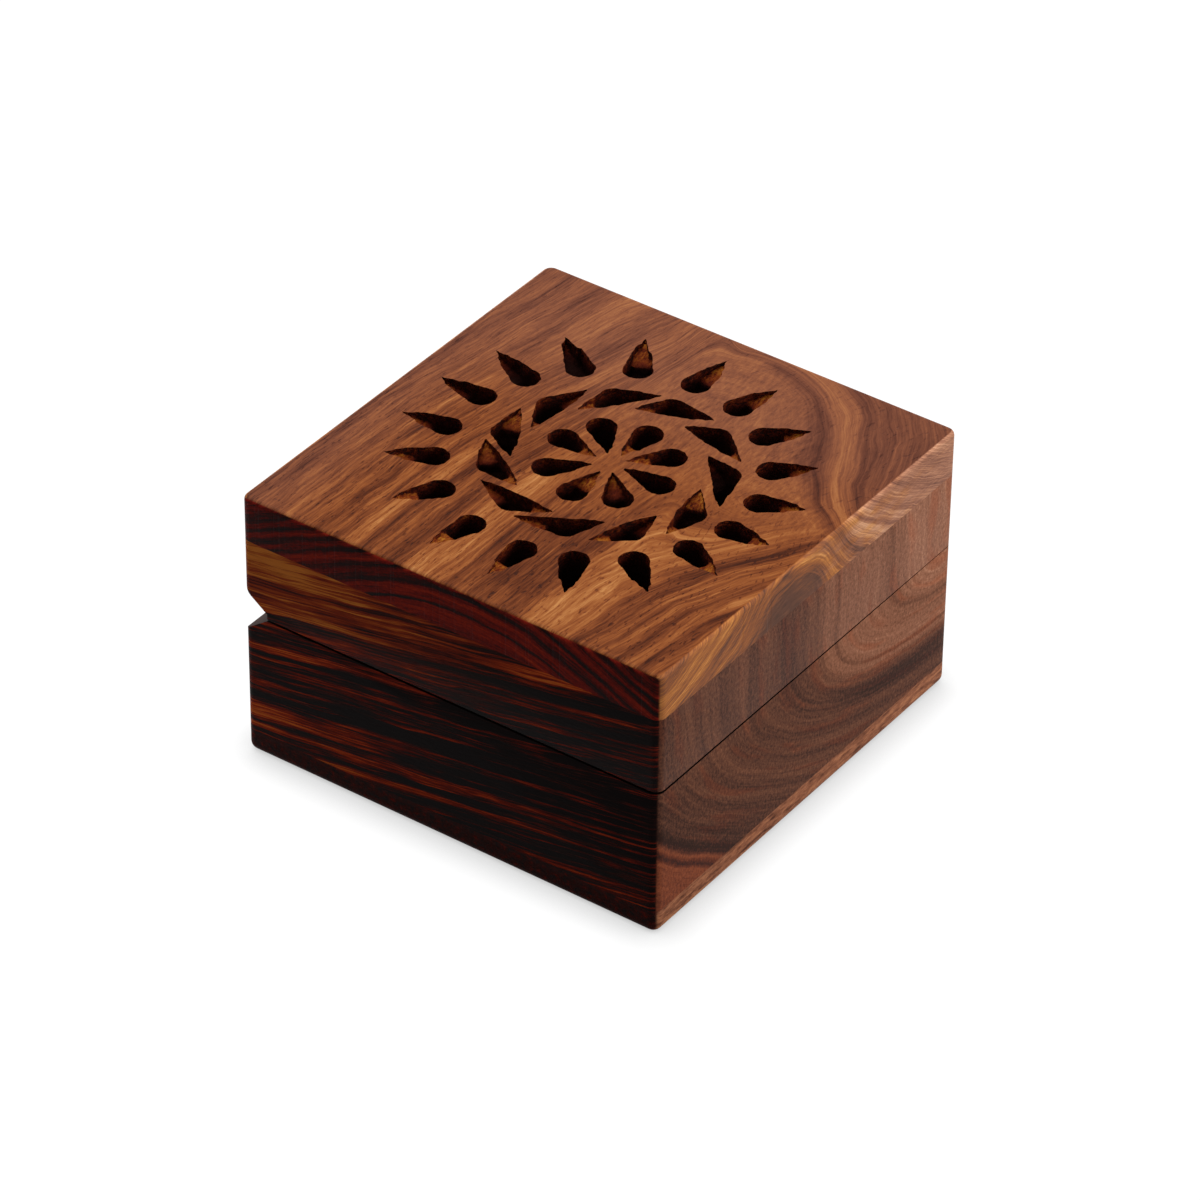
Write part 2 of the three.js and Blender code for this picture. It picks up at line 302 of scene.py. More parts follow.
# %% Saw the lid off the base
# The cut is widest at the left, where the lid stands a hair open, and closes up to the right.
SEAM_ENDS = {-1: 0.25, 1: 0.05}
EASED = 0.08
saw_cut = block("saw_cut", (-60, -60, BASE_TOP), (60, 60, LID_BOTTOM))
for end, half_gap in SEAM_ENDS.items():
    pick(saw_cut, "VERT", lambda middle, vert: middle.x * end > 0)
    bpy.ops.transform.resize(value=(1, 1, half_gap / HALF_CUT), center_override=(0, 0, SEAM * MM))
    bpy.ops.object.mode_set(mode="OBJECT")
cut(timber, saw_cut)
choose(timber)
bpy.ops.mesh.separate(type="LOOSE")
halves = sorted(bpy.context.selected_objects, key=lambda half: half.bound_box[0][2])
base_block, lid_block = halves
base_block.name = base_block.data.name = "base_block"
lid_block.name = lid_block.data.name = "lid_block"
for half in (base_block, lid_block):
    edges = round_edges(half, EASED, 2, lambda middle, edge:
                        edge.is_manifold and edge.calc_face_angle() > 0.6
                        and all(abs(vert.co.z / MM - SEAM) < 0.3 for vert in edge.verts))
    smooth(half)
    print(half.name, "rim edges eased:", edges)
    report(half)
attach(base_block, "base")
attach(lid_block, "lid")
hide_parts("base_frame")
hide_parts("lid_frame")

# %% [markdown]
# ## The panel under the base
# A thin slab with a well rounded lower edge, glued on with its grain across the block's.

# %% Round and glue the base panel
foot_panel = block("foot_panel", (-REACH_X, -REACH_Y, 0), (REACH_X, REACH_Y, BASE_PANEL_TOP))
round_edges(foot_panel, FOOT_RADIUS, 6, lambda middle, edge: middle.z < 0.01 or runs_along(edge, 2))
smooth(foot_panel)
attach(foot_panel, "base")
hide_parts("base_panel")
report(foot_panel)

# %% [markdown]
# ## The pierced panel
# The maker drills rings of holes and then chops from each hole towards a point, or towards two for
# a leaf, in a few strokes that slope down to the hole. So a cut is round at the hole and sharp at
# its points, and its floor is stepped and a little ragged. Here every stroke is the hull of a
# drill and a thin blade. All the strokes are joined and remeshed into one cutter, which is
# roughened with a cloud texture and taken out of the panel in a single Boolean.

# %% The compass rings of the pattern
# Angles are in degrees. The slips are how far each cut strays from the even spacing, and the
# reaches are how much further out than its ring a point lies. The last list of a point is how deep
# its shelf is where it meets the drilled hole: the shallow ones show amber in the photograph.
PETALS = {
    "count": 8, "centre": (0.7, -1.25), "first": 43, "drill": 3.2, "ring": 12.3,
    "slips": (0, -4.5, 0.5, 1.5, 0, 0.5, 1, -0.5),
    "points": (
        (3.15, 2, (-3, -2, 0, 5.5, 1.5, 0.5, 1.5, -8), (7, 1.5, 6, 1.7, 3.5, 7, 1.5, 1.5)),
    ),
    "blades": (0.1, 1.7, 3.4, 4),
}
LEAVES = {
    "count": 11, "centre": (0.4, -1.45), "first": 33, "drill": 3.05, "ring": 23.1,
    "slips": (0.5, 0, -0.5, -4, -3.5, -2.5, -3.5, -3, 1.5, 2, 3),
    "points": (
        (19.6, 19.5, (2.5, 3, 1, -1.5, -1, -3, -5, -1, 0, 0.5, 1.5),
         (1.6, 2.4, 4.5, 1.4, 1.8, 4, 3.5, 1.6, 6, 4.5, 1.9)),
        (25.85, -23, (1.5, 2.5, 3, -1.5, -2.5, -5, 0, 1.5, -0.5, 3, 4),
         (5, 3.2, 2, 2.8, 3.2, 2.2, 1.4, 1.6, 6, 2.4, 3.2)),
    ),
    "blades": (0.1, 1.7, 3.3, 4),
}
RAYS = {
    "count": 18, "centre": (-0.1, -0.25), "first": 3.5, "drill": 3.15, "ring": 33.1,
    "slips": (-2, 0, 0, 0, -1, 0.5, -1, -1.5, 1.5, 4, 2.5, 2.5, 2, 0, -1.5, -2, -1.5, -2),
    "points": (
        (43.3, 1, (-3.5, 0, 1, 0, -1, -2, -3, -2, 0.5, 0.5, 1.5, 2.5, 1.5, 1, 0, -0.5, -3.5, -2.5),
         (2.6, 2.6, 7, 5.5, 4, 3.4, 2.6, 1.5, 1.25, 1.4, 6, 5, 1.5, 1.5, 2, 2.4, 2.4, 2.4)),
    ),
    "reaches": (0.2, 1, 1.5, 0.9, 0.4, -0.2, 0, -0.1, 0.2, -0.1, 0.6, 0.3, -0.1, -1.1, -0.9, -1.1,
                -0.5, 0.1),
    "blades": (0.1, 2.1, 3.9, 4.4),
}
ABOVE, BELOW = BOX_TOP + 1, LID_FRAME_TOP - 1


def ring_place(ring, index, radius, turn, slips):
    angle = math.radians(ring["first"] + index * 360 / ring["count"] + turn + slips[index])
    return Vector(ring["centre"]) + radius * Vector((math.cos(angle), math.sin(angle)))


# %% One chisel stroke, and all the strokes of a cut
# Four strokes lead to each point: three light ones whose floor is a shelf near the point, and a
# deeper one that meets the drilled hole lower down. Some shelves are nearly level and catch the
# light, others plunge. The widths of the blades make the sides of a cut bulge a little.
REACHES = (1.01, 0.8, 0.58, 0.4)
STEPS = (0, 0.1, 0.3, 3.5)
DEEPEST = 11
BLADE = 0.1
chance = random.Random(5)


def stroke(drill, tip, radius, floor, depth, blade):
    """Hull of an upright bar at the drilled hole and an upright blade near the point."""
    way = tip - drill
    middle = (*drill, (ABOVE + BOX_TOP - floor) / 2)
    bar = round_bar("stroke", radius, ABOVE - BOX_TOP + floor, middle, sides=20)
    bpy.ops.object.mode_set(mode="EDIT")
    bpy.ops.mesh.primitive_cube_add(
        size=1, location=Vector((*tip, (ABOVE + BOX_TOP - depth) / 2)) * MM,
        rotation=(0, 0, math.atan2(way.y, way.x)),
        scale=Vector((BLADE, blade, ABOVE - BOX_TOP + depth)) * MM)
    bpy.ops.mesh.select_all(action="SELECT")
    bpy.ops.mesh.convex_hull(use_existing_faces=False, join_triangles=False)
    bpy.ops.object.mode_set(mode="OBJECT")
    return bar


def cut_strokes(ring, index):
    drill = ring_place(ring, index, ring["ring"], 0, ring["slips"])
    reaches = ring.get("reaches", (0,) * ring["count"])
    strokes = [round_bar("drill", ring["drill"], ABOVE - BELOW, (*drill, (ABOVE + BELOW) / 2), sides=40)]
    for radius, turn, slips, shelves in ring["points"]:
        tip = ring_place(ring, index, radius + reaches[index], turn, slips)
        start = 0.2 + shelves[index] * 0.2
        for order, (blade, reach) in enumerate(zip(ring["blades"], REACHES)):
            floor = min(DEEPEST, shelves[index] + STEPS[order])
            depth = start + (floor - start) * (1 - reach) * 1.15
            way = (tip - drill) * (reach + chance.uniform(-0.02, 0.02) * (order > 0))
            aside = Vector((-way.y, way.x)) * chance.uniform(-0.04, 0.04) * (order > 0)
            strokes.append(stroke(drill, drill + way + aside, ring["drill"] * 0.95, floor, depth, blade))
    return strokes


# %% Join the strokes into one rough cutter
VOXEL = 0.45
MARK_SIZE, MARK_DEPTH = 1.2, 0.42
strokes = []
for ring in (PETALS, LEAVES, RAYS):
    for index in range(ring["count"]):
        strokes += cut_strokes(ring, index)
choose(*strokes)
bpy.ops.object.join()
carving = bpy.context.object
carving.name = "carving"
remesh = carving.modifiers.new("blend", "REMESH")
remesh.mode = "VOXEL"
remesh.voxel_size = VOXEL * MM
clouds = bpy.data.textures.new("chisel_marks", "CLOUDS")
clouds.noise_scale = MARK_SIZE * MM
clouds.noise_depth = 1
rough = carving.modifiers.new("ragged", "DISPLACE")
rough.texture = clouds
rough.texture_coords = "LOCAL"
rough.mid_level = 0.5
rough.strength = MARK_DEPTH * MM
choose(carving)
for name in ("blend", "ragged"):
    bpy.ops.object.modifier_apply(modifier=name)
print("strokes:", len(strokes))
report(carving)

# %% Pierce the panel
pierced_panel = block("pierced_panel", (-REACH_X, -REACH_Y, LID_FRAME_TOP), (REACH_X, REACH_Y, BOX_TOP))
round_edges(pierced_panel, CORNER, 6, lambda middle, edge: runs_along(edge, 2))
round_edges(pierced_panel, TOP_RADIUS, 4, lambda middle, edge: all(
    vert.co.z > (BOX_TOP - 0.01) * MM for vert in edge.verts))
# Bisected into a grid, no flat face of the panel has to hold more than a few of the cuts.
GRID_REACH, GRID_STEP = 40, 16
pick(pierced_panel, "FACE", lambda middle, face: True)
for place in range(-GRID_REACH, GRID_REACH + 1, GRID_STEP):
    for normal in ((1, 0, 0), (0, 1, 0)):
        bpy.ops.mesh.select_all(action="SELECT")
        bpy.ops.mesh.bisect(plane_co=Vector(normal) * place * MM, plane_no=normal)
bpy.ops.object.mode_set(mode="OBJECT")
print("faces of the panel before it is pierced:", len(pierced_panel.data.polygons))
for name in ("panel wood", "chiselled wood"):
    wood = bpy.data.materials.new(name)
    for piece in (pierced_panel, carving):
        piece.data.materials.append(wood)
for face in carving.data.polygons:
    face.material_index = 1
cut(pierced_panel, carving, solver="MANIFOLD")
smooth(pierced_panel, 40)
pick(pierced_panel, "FACE", lambda middle, face: abs(face.normal.z) > 0.9999)
bpy.ops.mesh.faces_shade_flat()
bpy.ops.object.mode_set(mode="OBJECT")
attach(pierced_panel, "lid")
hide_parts("lid_panel")
report(pierced_panel)
print("carved faces:", sum(face.material_index == 1 for face in pierced_panel.data.polygons))

# %% [markdown]
# ## Brass hinges
# Each hinge is two stamped leaves with rolled knuckles on a steel pin. The base leaf has the two
# outer knuckles and the lid leaf the middle one. The plate is a thin block with two rounded
# corners; the knuckles are added to it, and then the bore and the countersunk holes are taken out.

# %% Leaves
KNUCKLES = 3
PITCH = HINGE_LENGTH / KNUCKLES
SCREW_HEAD, HEAD_HEIGHT = 1.6, 0.7
LEAF_CORNER, WORN_EDGE = 0.6, 0.05


def countersunk_hole(x, y, face, side):
    """Cone for a screw head with its wide end at the face of the leaf."""
    deselect()
    wide, narrow = SCREW_HEAD + FIT_GAP, SCREW_HOLE
    radii = (narrow, wide) if side < 0 else (wide, narrow)
    bpy.ops.mesh.primitive_cone_add(
        vertices=32, radius1=radii[0] * MM, radius2=radii[1] * MM, depth=HEAD_HEIGHT * MM,
        location=Vector((x, y, face + side * (HEAD_HEIGHT / 2 - 0.001))) * MM)
    return settle(bpy.context.object)


def hinge_leaf(name, x, side):
    face = HINGE_Z + side * HALF_CUT
    rear = face + side * LEAF
    low, high = min(face, rear), max(face, rear)
    half = HINGE_LENGTH / 2
    leaf = block(name, (x - half, LEAF_INNER_Y, low), (x + half, LEAF_OUTER_Y, high))
    round_edges(leaf, LEAF_CORNER, 4, lambda middle, edge:
                runs_along(edge, 2) and middle.y < LEAF_INNER_Y + 0.01)
    for order in range(0 if side < 0 else 1, KNUCKLES, 2):
        outer = RUN_GAP / 2 if side < 0 else 0
        width = PITCH - RUN_GAP - outer
        at = x - half + (order + 0.5) * PITCH
        start = (at - width / 2, LEAF_OUTER_Y - RUN_GAP, low)
        cut(leaf, block("tab", start, (at + width / 2, HINGE_Y - BORE, high)), "UNION")
        cut(leaf, round_bar("knuckle", KNUCKLE, width, (at, HINGE_Y, HINGE_Z), 40, "X"), "UNION")
    cut(leaf, round_bar("bore", BORE, HINGE_LENGTH + 2, (x, HINGE_Y, HINGE_Z), 28, "X"))
    for offset in SCREW_OFFSETS:
        cut(leaf, countersunk_hole(x + offset, SCREW_Y, face, side))
        cut(leaf, round_bar("hole", SCREW_HOLE, 3, (x + offset, SCREW_Y, HINGE_Z), 32))
    edge = leaf.modifiers.new("worn_edge", "BEVEL")
    edge.width = WORN_EDGE * MM
    edge.segments = 2
    edge.limit_method = "ANGLE"
    edge.angle_limit = math.radians(35)
    choose(leaf)
    bpy.ops.object.modifier_apply(modifier=edge.name)
    return smooth(leaf)


for hinge, x in HINGE_PLACES.items():
    for part, side in (("base", -1), ("lid", 1)):
        leaf = hinge_leaf(f"{hinge}_{part}_leaf", x, side)
        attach(leaf, part)
        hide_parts(f"hinge_{hinge}_{part}_leaf")
        report(leaf)

# %% Pins
PIN, PIN_END = 0.55, 0.25
PIN_LENGTH = HINGE_LENGTH + 0.8
for hinge, x in HINGE_PLACES.items():
    pin = round_bar(f"{hinge}_pin", PIN, PIN_LENGTH, (x, HINGE_Y, HINGE_Z), 28, "X")
    round_edges(pin, PIN_END, 4, lambda middle, edge: abs(abs(middle.x - x) - PIN_LENGTH / 2) < 0.01)
    smooth(pin, 40)
    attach(pin, "base")
    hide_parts(f"hinge_{hinge}_pin")
    report(pin)

# %% [markdown]
# ## Countersunk screws
# One screw is turned from a short bar: its end is drawn down to a point, its head is flared out,
# and a saw cut makes the slot. The eight screws are copies, each stopped at its own angle, as
# screws driven by hand are.

# %% Turn one screw
SHANK, POINT, SCREW_LENGTH = 0.8, 1.6, 6
HALF_SLOT, SLOT_DEPTH = 0.2, 0.32
screw = round_bar("screw", SHANK, SCREW_LENGTH - POINT - HEAD_HEIGHT,
                  (0, 0, -(SCREW_LENGTH - POINT + HEAD_HEIGHT) / 2), 32)
pick(screw, "FACE", lambda middle, face: face.normal.z < -0.9)
bpy.ops.mesh.extrude_region_move(TRANSFORM_OT_translate={"value": (0, 0, -POINT * MM)})
bpy.ops.transform.resize(value=(0.08, 0.08, 1), center_override=(0, 0, -SCREW_LENGTH * MM))
pick(screw, "FACE", lambda middle, face: face.normal.z > 0.9)
bpy.ops.mesh.extrude_region_move(TRANSFORM_OT_translate={"value": (0, 0, HEAD_HEIGHT * MM)})
flare = SCREW_HEAD / SHANK
bpy.ops.transform.resize(value=(flare, flare, 1), center_override=(0, 0, 0))
bpy.ops.object.mode_set(mode="OBJECT")
cut(screw, block("slot", (-2, -HALF_SLOT, -SLOT_DEPTH), (2, HALF_SLOT, 1)))
smooth(screw, 25)
report(screw)

# %% Drive the eight screws
TURNS = (12, 71, 148, 35, 97, 8, 122, 60)
turns = iter(TURNS)
for hinge, x in HINGE_PLACES.items():
    for part, side in (("base", -1), ("lid", 1)):
        for order, offset in enumerate(SCREW_OFFSETS, 1):
            copy = screw.copy()
            copy.data = screw.data.copy()
            copy.name = copy.data.name = f"{hinge}_{part}_screw_{order}"
            bpy.context.scene.collection.objects.link(copy)
            copy.rotation_euler = (math.pi if side > 0 else 0, 0, math.radians(next(turns)))
            copy.location = Vector((x + offset, SCREW_Y, HINGE_Z + side * HALF_CUT)) * MM
            settle(copy)
            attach(copy, part)
            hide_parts(f"hinge_{hinge}_{part}_screw_{order}")
bpy.data.objects.remove(screw)
print("screws driven:", len(TURNS))

# %% [markdown]
# ## A small language for materials
# The figure of wood is a sum of fields: rings that the saw has cut through, streaks that follow
# them, and pores. Writing such sums node by node is long, so a Wire stands for one number in a
# node tree and takes plain arithmetic. All lengths in the fields are millimetres on the object.

# %% Wires and the nodes they need
class Wire:
    def __init__(self, tree, socket):
        self.tree, self.socket = tree, socket

    def math(self, operation, *others):
        node = self.tree.nodes.new("ShaderNodeMath")
        node.operation = operation
        for entry, value in zip(node.inputs, (self, *others)):
            plug(self.tree, value, entry)
        return Wire(self.tree, node.outputs[0])

    def __add__(self, other):
        return self.math("ADD", other)

    def __sub__(self, other):
        return self.math("SUBTRACT", other)

    def __mul__(self, other):
        return self.math("MULTIPLY", other)

    def __truediv__(self, other):
        return self.math("DIVIDE", other)

    def __neg__(self):
        return self * -1

    def __abs__(self):
        return self.math("ABSOLUTE")

    __radd__ = __add__
    __rmul__ = __mul__

    def __rsub__(self, other):
        return -self + other


def plug(tree, value, entry):
    if isinstance(value, Wire):
        tree.links.new(value.socket, entry)
    else:
        entry.default_value = value


def root(value):
    return value.math("SQRT")


def soft_step_up(value, width):
    """Nought well below nought and the value itself well above it, with a soft bend between."""
    return ((value / width).math("EXPONENT") + 1).math("LOGARITHM", math.e) * width


def fade(value, start, end):
    """Nought before start, one after end, and smooth between."""
    node = value.tree.nodes.new("ShaderNodeMapRange")
    node.interpolation_type = "SMOOTHSTEP"
    plug(value.tree, value, node.inputs["Value"])
    node.inputs["From Min"].default_value = start
    node.inputs["From Max"].default_value = end
    return Wire(value.tree, node.outputs["Result"])


def noise(x, y, z, detail=2, roughness=0.5):
    """Cloudy noise about nought, mostly between -0.5 and 0.5."""
    tree = x.tree
    join = tree.nodes.new("ShaderNodeCombineXYZ")
    for entry, value in zip(join.inputs, (x, y, z)):
        plug(tree, value, entry)
    node = tree.nodes.new("ShaderNodeTexNoise")
    tree.links.new(join.outputs[0], node.inputs["Vector"])
    node.inputs["Scale"].default_value = 1
    node.inputs["Detail"].default_value = detail
    node.inputs["Roughness"].default_value = roughness
    return (Wire(tree, node.outputs["Fac"]) - 0.5) * 1.6


def between(first, second, share):
    return first + (second - first) * share


def ramp(value, stops, colours=False):
    """Follows a list of stops: (place, tone), or (place, (red, green, blue))."""
    tree = value.tree
    first, last = stops[0][0], stops[-1][0]
    node = tree.nodes.new("ShaderNodeValToRGB")
    plug(tree, (value - first) / (last - first), node.inputs["Fac"])
    line = node.color_ramp
    while len(line.elements) < len(stops):
        line.elements.new(0.5)
    for element, (place, tone) in zip(line.elements, stops):
        element.position = (place - first) / (last - first)
        element.color = (*tone, 1) if colours else (tone, tone, tone, 1)
    return Wire(tree, node.outputs["Color"])


def mix_colour(first, second, share):
    tree = share.tree
    node = tree.nodes.new("ShaderNodeMix")
    node.data_type = "RGBA"
    plug(tree, share, node.inputs[0])
    tree.links.new(first.socket, node.inputs[6])
    tree.links.new(second.socket, node.inputs[7])
    return Wire(tree, node.outputs[2])


def shade(red, green, blue, light=1):
    """Colour as it shows in the photograph, 0 to 255, on a face that gets this share of the light."""
    def linear(value):
        value /= 255
        return value / 12.92 if value < 0.04045 else ((value + 0.055) / 1.055) ** 2.4
    return tuple(min(1, linear(value) / light) for value in (red, green, blue))


def fresh_material(name):
    material = bpy.data.materials.get(name) or bpy.data.materials.new(name)
    material.use_nodes = True
    tree = material.node_tree
    tree.nodes.clear()
    shader = tree.nodes.new("ShaderNodeBsdfPrincipled")
    output = tree.nodes.new("ShaderNodeOutputMaterial")
    tree.links.new(shader.outputs[0], output.inputs["Surface"])
    return material, tree, shader


def finish_wood(material, shader, colour, roughness, gloss):
    """Joins the colour to the shader and sets how the varnish, or the raw wood, shines."""
    tree = material.node_tree
    tree.links.new(colour.socket, shader.inputs["Base Color"])
    shader.inputs["Roughness"].default_value = roughness
    shader.inputs["Specular IOR Level"].default_value = gloss
    print(material.name, "nodes:", len(tree.nodes))


def object_place(tree):
    """Object coordinates in millimetres and the object-space normal, each as three wires."""
    source = tree.nodes.new("ShaderNodeTexCoord")
    wires = []
    for output in ("Object", "Normal"):
        split = tree.nodes.new("ShaderNodeSeparateXYZ")
        tree.links.new(source.outputs[output], split.inputs[0])
        wires.append([Wire(tree, socket) for socket in split.outputs])
    places, normals = wires
    return [place * 1000 for place in places], normals


def bump(tree, shader, height, distance):
    node = tree.nodes.new("ShaderNodeBump")
    node.inputs["Strength"].default_value = 1
    node.inputs["Distance"].default_value = distance
    plug(tree, height, node.inputs["Height"])
    tree.links.new(node.outputs["Normal"], shader.inputs["Normal"])


# %% [markdown]
# ## Wood of the pierced panel
# The panel was sawn close to the middle of a crooked branch. On its top the rings run straight
# along the left and close round a pale tongue at the right, and near the front they dip into a V.
# On its front edge they show as a low arch round a dark knot, and on its left end as flat arches.
# So each face gets its own ring field, a distance from an axis that bends, and the normal of the
# surface picks the field. Tones along the field are listed in bands from dark to pale.

# %% Ring fields of the panel
def top_rings(x, y):
    """Rings on the top: how far out, and how much of the upper side, from 0 to 1."""
    wobble = noise(x / 18, y / 8, x * 0) * 1.8 + noise(x / 8, y / 2.2, x * 0, 1) * 0.25
    crease = ramp(x, [(-60, 0.06), (-30, 0.23), (-15, 0.45), (0, 0.8), (6, 1), (10, 0.78),
                      (14, 0.58), (23, 0.3), (38, 0.1), (60, 0.02)])
    dip = crease * -25 * fade(-y, 13, 36)
    steep = 0.2 - fade(y, 12, 48) * 0.1
    droop = soft_step_up(x + 12, 8) * steep * fade(y, -4, 14)
    across = y + 7 - dip + droop + wobble
    beyond = soft_step_up(x - 31, 6) * 1.2 * (1 - fade(across, 6, 32))
    return root(beyond * beyond + across * across), fade(across, -2, 2)


UPPER_LEFT = [
    (0, 0.5), (2, 0.38), (4, 0.54), (7.5, 0.32), (9, 0.6), (12, 0.66), (15.5, 0.82), (17, 0.66),
    (19, 0.4), (21.5, 0.2), (23, 0.45), (25, 0.6), (27.5, 0.2), (30, 0.75), (31.5, 0.7),
    (33, 0.35), (35, 0.6), (38, 0.3), (40, 0.5), (43.5, 0.35), (45.5, 0.65), (48, 0.4),
    (50, 0.56), (52, 0.44), (55, 0.38), (60, 0.38),
]
UPPER_RIGHT = [
    (0, 0.5), (14, 0.5), (17, 0.55), (20, 0.74), (22, 0.5), (24.5, 0.35), (27, 0.5), (30, 0.5),
    (32.5, 0.85), (34, 0.55), (37, 0.35), (40, 0.34), (42.5, 0.75), (44, 0.7), (47, 0.45),
    (50, 0.42), (54, 0.46), (58, 0.42), (64, 0.42),
]
LOWER_LEFT = [
    (0, 0.5), (1, 0.42), (3, 0.52), (5.5, 0.34), (7, 0.4), (9, 0.5), (11, 0.75), (13, 0.8),
    (15, 0.86), (17, 0.6), (18.5, 0.55), (20.5, 0.14), (22, 0.34), (23.5, 0.6), (25, 0.45),
    (27, 0.65), (29.5, 0.2), (31, 0.55), (33, 0.8), (34.5, 0.3), (37, 0.42), (39, 0.55),
    (41.5, 0.3), (46, 0.4),
]
LOWER_RIGHT = [
    (0, 0.5), (15, 0.5), (17, 0.44), (19.5, 0.18), (20.5, 0.14), (22, 0.5), (24, 0.8), (26, 0.82),
    (28, 0.5), (30, 0.18), (32, 0.38), (34, 0.2), (37, 0.45), (40, 0.35), (45, 0.45), (50, 0.3),
    (60, 0.4),
]


def top_tone(x, y):
    rings, upper = top_rings(x, y)
    rightward = fade(x, -14, 12)
    pinkness = 1 - (1 - fade(x, -6, 36)) * (1 - fade(y, 30, 50) * 0.85)
    bands = between(
        between(ramp(rings, LOWER_LEFT), ramp(rings, UPPER_LEFT), upper),
        between(ramp(rings, LOWER_RIGHT), ramp(rings, UPPER_RIGHT), upper),
        rightward)
    bands = 0.5 + (bands - 0.5) * (0.95 - rightward * 0.35)
    calm = rightward * (1 - fade(rings, 16, 22))
    eye = root((x + 30) * (x + 30) * 0.8 + (y + 10) * (y + 10)) + noise(x / 5, y / 2, x * 0, 3) * 4
    eye_shade = (1 - fade(eye, 8, 15)) * 0.1 + fade(eye, 7, 10.5) * (1 - fade(eye, 11, 14)) * 0.07
    streaks = noise(rings * 1.0, x / 28, y / 50, 6, 0.74)
    fibres = noise(rings * 2.2, x / 8, y / 30, 4, 0.75)
    broad = noise(rings * 0.22, x / 30, y / 40, 2)
    grain = (streaks * 0.85 + fibres * 0.7) * (1 - rightward * (1 - upper) * 0.3) * (1 - calm * 0.65)
    mottle = noise(x / 3, y, x * 0, 4, 0.7) * (calm * 0.45 + rightward * 0.15) + broad * 0.3
    pores = fade(noise(y * 2.2 + rings * 0.6, x / 1.8, y / 20, 1), 0.18, 0.34) * (1 - rightward * 0.4)
    corner_shade = fade(x, 8, 30) * fade(-y, 12, 32) * 0.05
    tone = bands - 0.035 + grain + mottle - pores * 0.24 + calm * 0.06 - eye_shade - corner_shade
    return tone, pores, pinkness


def front_edge_tone(x, z):
    side = fade(x, -8, -3)
    aside = x + 5.5
    height = z - 52 + noise(x / 7, z / 4, x * 0, 2) * 0.9
    off = root(aside * aside + 64) - 8
    right_far = (off + height * (off * 0.035 + 0.86)) / 0.86
    left_far = (off + height * (off * 0.06 + 1.44)) / 1.44
    squeeze = between(0.5 + aside * 0, 0.7, side)
    near = root(aside * aside * squeeze * squeeze + height * height)
    away = fade(abs(aside), 7, 20)
    left_rings = between(near, left_far, away)
    right_rings = between(near, right_far, away)
    right_tone = ramp(right_rings, [
        (0, 0.1), (5, 0.14), (7, 0.26), (8.4, 0.58), (9.6, 0.78), (11.2, 0.45), (12.6, 0.38),
        (14.4, 0.65), (17, 0.35), (20, 0.3), (22, 0.45), (27, 0.82), (30, 0.85), (32, 0.35),
        (34, 0.75), (37, 0.7), (40, 0.45), (46, 0.66), (52, 0.35), (58, 0.6), (66, 0.48),
        (76, 0.62), (90, 0.5)])
    left_tone = ramp(left_rings, [
        (0, 0.1), (5, 0.14), (7, 0.28), (8.6, 0.42), (10.4, 0.52), (12, 0.42), (13.6, 0.56),
        (15.5, 0.4), (17.6, 0.5), (20, 0.4), (22, 0.56), (25, 0.8), (27, 0.84), (29, 0.58),
        (33, 0.72), (37, 0.74), (41, 0.5), (45, 0.42), (50, 0.55), (60, 0.6)])
    rings = between(left_rings, right_rings, side)
    streaks = noise(rings * 1.3, x / 12, z / 12, 5, 0.72)
    fibres = noise(x / 3.5, z * 2, x * 0, 4, 0.7)
    bands = between(0.42 + (left_tone - 0.5) * 0.75, 0.52 + (right_tone - 0.5) * 0.85, side)
    return bands + streaks * 1.05 * (fade(rings, 4, 8) * 0.75 + 0.25) + fibres * 0.35


def left_end_tone(y, z):
    flat = soft_step_up(abs(y + 5) - 13, 4) * 0.45
    rings = z - 52 + flat + noise(y / 8, z / 5, y * 0, 2) * 0.9
    bands = ramp(rings, [
        (0, 0.45), (3, 0.6), (4.3, 0.55), (4.8, 0.06), (5.5, 0.5), (7.5, 0.58), (8.8, 0.12),
        (9.6, 0.3), (11, 0.5), (12, 0.1), (13, 0.5), (14.3, 0.55), (15.5, 0.1), (16.5, 0.5),
        (18, 0.1), (19, 0.55), (20.5, 0.15), (22, 0.5), (23, 0.1), (25, 0.4)])
    streaks = noise(rings * 1.2, y / 14, z / 14, 5, 0.75)
    return bands + streaks * 0.85 + noise(y * 1.2, z * 1.2, y * 0, 3, 0.7) * 0.3


# %% Colours of the panel
# The front colours keep the pale haze that the varnish reflects, while the gloss stays very low: partly
# the wood's own colour, partly painted reflection.
FRONT_LIGHT, LEFT_LIGHT = 0.6, 0.25
panel_wood, tree, shader = fresh_material("panel wood")
(x, y, z), (across, along, upward) = object_place(tree)
tone, pores, pinkness = top_tone(x, y)
warm_colour = ramp(tone, [
    (0, shade(62, 28, 15)), (0.2, shade(92, 43, 20)), (0.42, shade(124, 65, 33)),
    (0.6, shade(149, 83, 41)), (0.8, shade(173, 107, 57)), (1, shade(198, 134, 78)),
], colours=True)
pink_colour = ramp(tone, [
    (0, shade(72, 38, 29)), (0.2, shade(102, 58, 43)), (0.42, shade(127, 75, 53)),
    (0.6, shade(146, 88, 59)), (0.8, shade(168, 107, 68)), (1, shade(192, 132, 86)),
], colours=True)
top_colour = mix_colour(warm_colour, pink_colour, pinkness)
edge_tone = front_edge_tone(x, z)
# Partly painted reflection: the front edge's colours keep the varnish's pale haze.
amber_edge = ramp(edge_tone, [
    (0, shade(66, 46, 38, FRONT_LIGHT)), (0.2, shade(92, 60, 46, FRONT_LIGHT)),
    (0.45, shade(130, 78, 48, FRONT_LIGHT)), (0.7, shade(160, 101, 54, FRONT_LIGHT)),
    (1, shade(196, 137, 76, FRONT_LIGHT)),
], colours=True)
